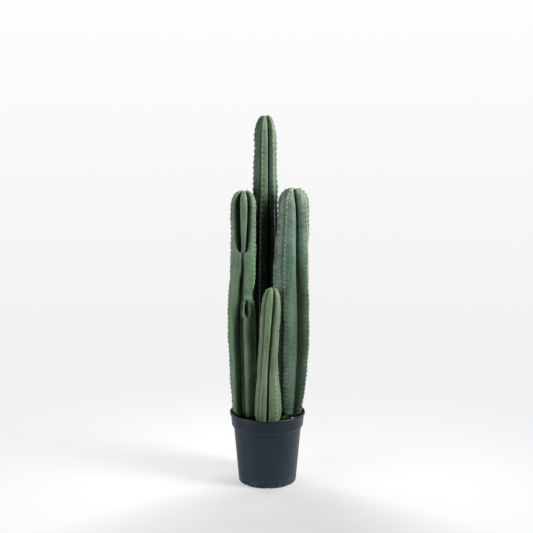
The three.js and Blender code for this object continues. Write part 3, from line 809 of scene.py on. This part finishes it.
def areole_piece(name, stem, points, arc, first_areole):
    """All cushions and spines of a stem, smaller and painted near black low down where the stem's painted
    shade goes all round it.
    """
    frames = areole_frames(stem, points, arc, first_areole)
    count = len(frames)
    height = frames[:, 0, 2] / MM
    rng = np.random.default_rng(stem["seed"] + 7)
    near_tip = np.exp(-(stem["top"] - height) / 50)
    size = curve_at(stem["wool"], height) * (1 + 0.4 * near_tip) * rng.uniform(0.8, 1.2, count)
    wool_low_shade = np.zeros(count)
    # Where the tall stem's skin is painted shaded all round, its wool is made smaller and painted dark too.
    if "painted_low_shade" in stem and "left_of" not in stem["painted_low_shade"]:
        low, high = stem["painted_low_shade"]["fades"]
        wool_low_shade = smooth_curve([(low, 1), (high, 0)], height)
    size *= 1 - 0.7 * wool_low_shade
    pads, quads, pad_tris = wool_pads(frames, size)
    cones, cone_tris = spine_cones(frames, rng, len(pads))
    piece = put_mesh(name, np.concatenate([pads, cones]), quads, np.concatenate([pad_tris, cone_tris]))
    per_pad, per_spines = len(pads) // count, len(cones) // count
    add_attribute(piece, "wool_low_shade", np.concatenate([np.repeat(wool_low_shade, per_pad), np.repeat(wool_low_shade, per_spines)]))
    piece.data.materials.append(areole_wool)
    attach(piece, "root")


areole_wool, add, join = shader("areole_wool_and_spines", 0.85, 0.25)
place = add("ShaderNodeTexCoord").outputs["Object"]
felt = ramp(add, noise(add, place, 420.0, 3.0), 0.3, (0.31, 0.37, 0.22), 0.7, (0.54, 0.60, 0.44))
# Wool in the tall stem's low painted shade is multiplied nearly to black: painted shade.
wool_low_shade = add("ShaderNodeAttribute", attribute_name="wool_low_shade").outputs["Fac"]
join(mixed(add, wool_low_shade, felt, (0.03, 0.034, 0.03, 1), "MULTIPLY"), "Base Color")

for node in made:
    areole_piece(node + "_areoles", *made[node])


# ---------------------------------------- potting soil
# Dark, peaty potting mix heaped loosely round the stems, a finger's width below the rim. Crumbs,
# grains of white perlite and chips of brown bark lie in it.
SOIL_LEVEL = 212
SOIL_RADIUS = 112.2
SOIL_FOOT = 5.6


def soil_height(x, y):
    """Height of the uneven surface at a place, in millimetres: two crossing waves of a few centimetres."""
    wave = np.sin(0.075 * x + 0.6) * np.cos(0.068 * y - 0.4)
    ripple = np.sin(0.17 * x - 0.11 * y + 1.3)
    return SOIL_LEVEL + 1.6 * (wave + 0.45 * ripple)


def blotches(x, y, size, seed):
    """Random values from 0 to 1 on a square lattice of the given size, blended smoothly in between."""
    lattice = np.random.default_rng(seed).random((256, 256))
    u, v = x / size + 128, y / size + 128
    i, j = np.floor(u).astype(int), np.floor(v).astype(int)
    s, t = u - i, v - j
    s, t = s * s * (3 - 2 * s), t * t * (3 - 2 * t)
    low = lattice[i, j] * (1 - s) + lattice[i + 1, j] * s
    high = lattice[i, j + 1] * (1 - s) + lattice[i + 1, j + 1] * s
    return low * (1 - t) + high * t


def lumps(x, y):
    """Height of the coarse and middling lumps, in millimetres: lattice noise of two sizes, about zero."""
    return 2.6 * blotches(x, y, 6.5, 1) + 1.5 * blotches(x, y, 2.8, 2) - 2.2


def soil_surface(rings=84, columns=260):
    """Rings from the wall inward, raised by lumps and fine crumbs, and lower along the wall."""
    turn = np.arange(columns) * 2 * np.pi / columns
    side = np.array([(88.6, SOIL_FOOT), (105.2, 176.2), (111.6, 184.7), (SOIL_RADIUS, 203)])
    radius = np.concatenate([side[:, 0], SOIL_RADIUS * (1 - np.arange(rings) / rings) ** 0.9])
    x, y = radius[:, None] * np.cos(turn), radius[:, None] * np.sin(turn)
    rough = lumps(x, y) + 0.8 * blotches(x, y, 1.4, 3)
    edge = np.clip((SOIL_RADIUS - radius) / 6, 0, 1)[:, None]
    z = soil_height(x, y) + rough * (0.3 + 0.7 * edge) - 2.5 * (1 - edge) ** 2
    z[:len(side)] = side[:, 1:]
    points = np.stack([x, y, z], -1).reshape(-1, 3)
    points = np.concatenate([points, [[0, 0, SOIL_FOOT], [0, 0, SOIL_LEVEL]]]) * MM
    rows = rings + len(side)
    return points, grid_quads(rows, columns), end_fans(rows, columns)


def chipped_lump(half, seed, rows, columns, cuts=12):
    """
    A broken lump: the distance to its surface in a direction is the nearest of several random
    cutting planes, no further than a ball, stretched to its half lengths.
    """
    rng = np.random.default_rng(seed)
    facing = rng.normal(size=(cuts, 3))
    facing /= np.linalg.norm(facing, axis=1, keepdims=True)
    off = rng.uniform(0.68, 0.95, cuts)
    lean = np.linspace(-np.pi / 2, np.pi / 2, rows + 2)[1:-1, None]
    turn = np.arange(columns) * 2 * np.pi / columns
    ray = np.stack([np.cos(lean) * np.cos(turn), np.cos(lean) * np.sin(turn), np.sin(lean) + 0 * turn], -1)
    ray = np.concatenate([ray.reshape(-1, 3), [[0, 0, -1], [0, 0, 1]]])
    reach = np.minimum(1, (off / np.maximum(ray @ facing.T, 0.2)).min(1))
    return ray * reach[:, None] * np.array(half), grid_quads(rows, columns), end_fans(rows, columns)


def turned(points, degrees):
    """Points turned about Z."""
    c, s = math.cos(math.radians(degrees)), math.sin(math.radians(degrees))
    return points @ np.array([[c, s, 0], [-s, c, 0], [0, 0, 1]])


def clear_of_stems(x, y, spare):
    """Whether places on the soil lie off the wall and outside a circle round every stem."""
    free = np.hypot(x, y) < SOIL_RADIUS - 4
    for stem in (TALL_STEM, LEFT_STEM, RIGHT_STEM, SHORT_STEM):
        middle = [smooth_curve(stem[axis], SOIL_LEVEL) for axis in ("axis_x", "axis_y")]
        reach = smooth_curve(stem["radius"], SOIL_LEVEL) + spare
        free &= np.hypot(x - middle[0], y - middle[1]) > reach
    return free


def crumb_piece(name, count, sizes, seed, material, spare):
    """Many small lumps strewn over the soil as one mesh, each a turned and scaled copy of one shape."""
    rng = np.random.default_rng(seed)
    tries = 6 * count
    radius, turn = SOIL_RADIUS * np.sqrt(rng.random(tries)), rng.uniform(0, 2 * np.pi, tries)
    x, y = radius * np.cos(turn), radius * np.sin(turn)
    free = np.flatnonzero(clear_of_stems(x, y, spare))[:count]
    x, y = x[free], y[free]
    size = sizes[0] + (sizes[1] - sizes[0]) * rng.random(len(x)) ** 2.5
    z = soil_height(x, y) - 0.3 + lumps(x, y) + 0.55 * size
    shape, quads, tris = chipped_lump((1, 0.8, 0.7), seed, 3, 6)
    spin = rng.uniform(0, 2 * np.pi, len(x))
    c, s = np.cos(spin)[:, None], np.sin(spin)[:, None]
    across, deep, up = shape.T
    local = np.stack([across * c - deep * s, across * s + deep * c, up + 0 * c], -1) * size[:, None, None]
    points = (local + np.stack([x, y, z], -1)[:, None]).reshape(-1, 3) * MM
    first = first_points(len(x), len(shape))
    piece = put_mesh(name, points, quads[None] + first, tris[None] + first, smooth=False)
    add_attribute(piece, "tone", np.repeat(rng.random(len(x)), len(shape)))
    piece.data.materials.append(material)
    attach(piece, "root")


def peat_material():
    """Near-black peat with brown fibres; each crumb is a little lighter or darker than the next."""
    material, add, join = shader("peaty_potting_mix", 0.95, 0.12)
    fine = noise(add, add("ShaderNodeTexCoord").outputs["Object"], 260.0, 8.0, 0.7)
    tone = add("ShaderNodeAttribute", attribute_name="tone").outputs["Fac"]
    both = arithmetic(add, "ADD", fine, arithmetic(add, "MULTIPLY", tone, 0.22))
    join(ramp(add, both, 0.38, (0.006, 0.0048, 0.004), 0.85, (0.04, 0.029, 0.021)), "Base Color")
    join(bumped(add, fine, 0.9, 0.0015), "Normal")
    return material


def perlite_material():
    """Chalky white expanded perlite with fine pores."""
    material, add, join = shader("expanded_perlite", 0.85, 0.3)
    inputs = {"Vector": add("ShaderNodeTexCoord").outputs["Object"], "Scale": 900.0}
    pores = add("ShaderNodeTexVoronoi", inputs).outputs["Distance"]
    join(ramp(add, pores, 0.0, (0.42, 0.40, 0.36), 0.45, (0.82, 0.81, 0.77)), "Base Color")
    join(bumped(add, pores, 0.7, 0.0008), "Normal")
    return material


def bark_material():
    """Dark red-brown pine bark with its grain drawn out flat."""
    material, add, join = shader("pine_bark", 0.9, 0.2)
    inputs = {"Vector": add("ShaderNodeTexCoord").outputs["Object"], "Scale": (1, 1, 3.5)}
    grain = noise(add, add("ShaderNodeMapping", inputs).outputs["Vector"], 190.0, 6.0)
    join(ramp(add, grain, 0.35, (0.018, 0.011, 0.008), 0.68, (0.10, 0.06, 0.04)), "Base Color")
    join(bumped(add, grain, 0.9, 0.0012), "Normal")
    return material


peat = peat_material()
perlite = perlite_material()
bark = bark_material()

soil = put_mesh("potting_mix", *soil_surface())
soil.data.materials.append(peat)
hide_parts("soil")
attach(soil, "root")
crumb_piece("peat_crumbs", 900, (0.7, 3.6), 71, peat, -4)
crumb_piece("fine_perlite", 70, (0.6, 1.9), 72, perlite, 0)
crumb_piece("fine_bark", 36, (1.0, 3.4), 73, bark, 1)

# Each chip or grain lies at a place on the soil, with its half sizes and its turn about Z.
BARK_CHIPS = (((53, -36), (9, 4, 3), 25), ((-62, -62), (8, 3.5, 2.6), -40), ((30, 92), (9, 4, 3), 70))
PERLITE_GRAINS = (
    ((79, -38), (3.4, 3, 2.8), 0), ((-44, 62), (3.2, 2.8, 2.6), 50), ((64, -66), (3, 2.6, 2.4), 20),
)
for kind, material, spots in (("bark_chip", bark, BARK_CHIPS), ("perlite_grain", perlite, PERLITE_GRAINS)):
    for i, ((x, y), half, degrees) in enumerate(spots, 1):
        shape, quads, tris = chipped_lump(half, 80 + i, 9, 16, 16)
        lump = turned(shape, degrees) + [x, y, soil_height(x, y) + 0.35 * half[2] + 0.8]
        piece = put_mesh(f"{kind}_{i}_surface", lump * MM, quads, tris, smooth=False)
        piece.data.materials.append(material)
        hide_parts(f"{kind}_{i}")
        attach(piece, "root")


# ---------------------------------------- floor, light, camera
# A pale floor that fades out at its edge and carries a painted shadow round the pot, large soft lamps at the
# sides and behind, a weak one in front, and a white room. The camera stands at about the tallest tip and
# looks a little down.
FLOOR_RADII = (0.06, 1.45)
FLOOR_RINGS = 24
FLOOR_COLUMNS = 64


def floor_material():
    """Matt pale paint that glows a little for the camera, more behind and left, and fades to nothing. The
    weaker glow close in front of the pot and to the right is a painted shadow.
    """
    material, add, join = shader("pale_floor", 0.7, 0.1)
    tree = material.node_tree
    surface = tree.nodes["Principled BSDF"]
    surface.inputs["Base Color"].default_value = (0.5, 0.5, 0.505, 1)
    surface.inputs["Emission Color"].default_value = (1, 1, 1, 1)
    place = add("ShaderNodeTexCoord").outputs["Object"]
    distance = add("ShaderNodeVectorMath", {0: place}, operation="LENGTH").outputs["Value"]
    across, behind = add("ShaderNodeSeparateXYZ", {0: place}).outputs[:2]
    aside = arithmetic(add, "ADD", arithmetic(add, "MULTIPLY", distance, 0.6), behind)
    # Painted shadow: the glow is weakest close in front of the pot and on the right.
    floor_glow_with_painted_shadow = arithmetic(add, "ADD", ranged(add, aside, -0.14, 0.06, 0.14, 0.42),
                ranged(add, across, -0.2, 0.2, 0.06, -0.06))
    seen = add("ShaderNodeLightPath").outputs["Is Camera Ray"]
    join(arithmetic(add, "MULTIPLY", seen, floor_glow_with_painted_shadow), "Emission Strength")
    fade = ranged(add, distance, 0.12, 1.3, easing="SMOOTHSTEP")
    clear = add("ShaderNodeBsdfTransparent").outputs[0]
    faded = add("ShaderNodeMixShader", {0: fade, 1: surface.outputs[0], 2: clear}).outputs[0]
    tree.links.new(faded, tree.nodes["Material Output"].inputs["Surface"])
    return material


ring = np.linspace(*FLOOR_RADII, FLOOR_RINGS)
turn = np.arange(FLOOR_COLUMNS) * 2 * np.pi / FLOOR_COLUMNS
flat = np.zeros((FLOOR_RINGS, FLOOR_COLUMNS))
disc = np.stack([ring[:, None] * np.cos(turn), ring[:, None] * np.sin(turn), flat], -1).reshape(-1, 3)
disc = np.concatenate([disc, [[0, 0, 0]]])
quads = grid_quads(FLOOR_RINGS, FLOOR_COLUMNS)[:, ::-1]
floor = put_mesh("floor", disc, quads, fan(len(disc) - 1, np.arange(FLOOR_COLUMNS)))
floor.data.materials.append(floor_material())

# The room lights the plant from behind only. The camera sees it as a near-white wall, greyer below.
world = bpy.data.worlds.new("white_room")
world.use_nodes = True
bpy.context.scene.world = world
add = node_adder(world.node_tree)
seen = add("ShaderNodeLightPath").outputs["Is Camera Ray"]
toward = add("ShaderNodeSeparateXYZ", {0: add("ShaderNodeTexCoord").outputs["Generated"]}).outputs
lighting = ranged(add, toward["Y"], 0.0, 0.8, 0.0, 0.6, "SMOOTHSTEP")
wall = ranged(add, toward["Z"], -0.2, 0.12, 0.89, 0.985)
background = world.node_tree.nodes["Background"]
world.node_tree.links.new(mixed(add, seen, lighting, wall), background.inputs["Color"])


def aim_at(thing, aim):
    """Turns a lamp so that its -Z axis points at a place, with +Y kept upward."""
    x, y, z = (a - b for a, b in zip(aim, thing.location))
    thing.rotation_euler = (math.atan2(math.hypot(x, y), -z), 0, math.atan2(-x, y))


def soft_lamp(name, spot, aim, size, power):
    """A rectangular lamp of the given width and height, turned to face a point."""
    light = bpy.data.lights.new(name, "AREA")
    light.shape = "RECTANGLE"
    light.size, light.size_y = size
    light.energy = power
    lamp = bpy.data.objects.new(name, light)
    bpy.context.scene.collection.objects.link(lamp)
    lamp.location = spot
    aim_at(lamp, aim)


soft_lamp("right_lamp", (1.95, -0.8, 1.75), (0, 0, 0.8), (0.8, 1.4), 70)
soft_lamp("left_lamp", (-1.55, -0.82, 0.6), (0, 0, 0.5), (0.8, 1.2), 16)
soft_lamp("front_lamp", (-0.6, -2.0, 2.1), (0, 0, 0.6), (1.2, 1.2), 3)
soft_lamp("back_right_lamp", (1.7, 1.5, 1.7), (0, 0, 0.5), (1.2, 1.8), 26)
soft_lamp("back_left_lamp", (-1.7, 1.5, 1.7), (0, 0, 0.5), (1.2, 1.8), 24)

CAMERA_TILT_DOWN = 8.35
camera_data = bpy.data.cameras.new("camera")
camera_data.lens = 63.83
camera_data.sensor_width = 36
camera = bpy.data.objects.new("camera", camera_data)
bpy.context.scene.collection.objects.link(camera)
camera.location = (-0.003, -2.927, 1.122)
camera.rotation_euler = (math.radians(90 - CAMERA_TILT_DOWN), 0, 0)
bpy.context.scene.camera = camera
bpy.context.scene.view_settings.view_transform = "Standard"
